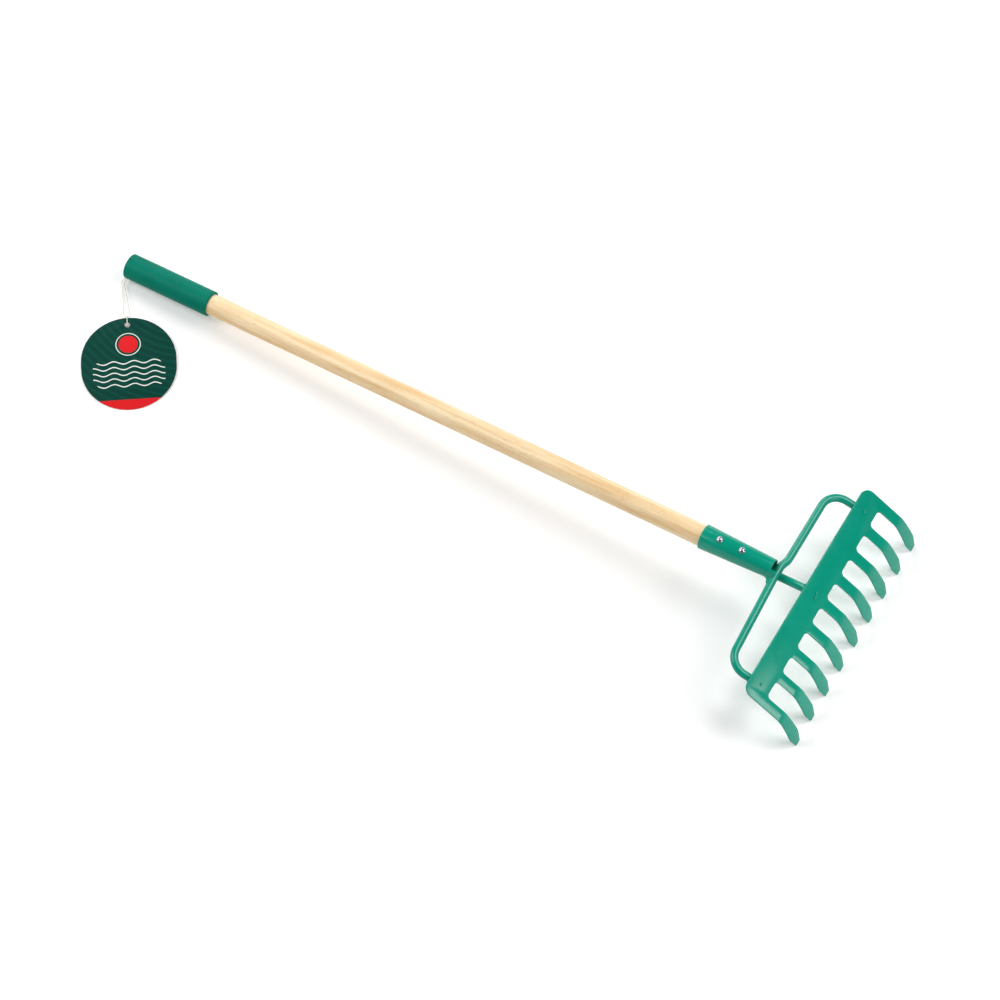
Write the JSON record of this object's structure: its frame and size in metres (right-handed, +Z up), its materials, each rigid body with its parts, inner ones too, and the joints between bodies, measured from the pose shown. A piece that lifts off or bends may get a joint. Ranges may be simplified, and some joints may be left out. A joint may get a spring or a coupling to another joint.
{
  "type": "sand rake",
  "caption": "Long-handled bow rake for sand play: wooden shaft with a plastic grip, steel ferrule and bow, and a curved pressed-steel head with broad tines.",
  "frame": {"origin": "on the floor, under the middle of the rake's box as it lies on its tine tips and on its grip's end", "axes": "+X along the handle from the grip to the head, +Y along the row of tines, +Z up"},
  "size_m": [0.7808, 0.2528, 0.0731],
  "materials": {
    "wood": "pale beech, satin clear varnish",
    "grip_plastic": "dark green, smooth gloss",
    "green_steel": "green gloss powder coat on steel",
    "rivet_steel": "bright zinc-plated steel",
    "card": "dark green printed card",
    "string": "thin white twisted string"
  },
  "bodies": {
    "rake": {"handle_shaft": "wood", "grip_sleeve": "grip_plastic", "ferrule": "green_steel", "rivet_rear": "rivet_steel", "rivet_front": "rivet_steel", "bow_rod": "green_steel", "centre_strut": "green_steel", "tine_plate": "green_steel", "weld_ferrule": "green_steel", "weld_bow_left": "green_steel", "weld_bow_right": "green_steel", "weld_strut": "green_steel", "tag_cord": "string"},
    "hang_tag": {"tag_card": "card", "tag_hitch": "string"}
  },
  "joints": [
    {"name": "tag_swing", "type": "hinge", "parent": "rake", "child": "hang_tag", "pos_m": [-0.36419, -0.0456, 0.0046], "axis": [-0.8241, -0.5664, 0], "range_deg": [0, 80]}
  ]
}
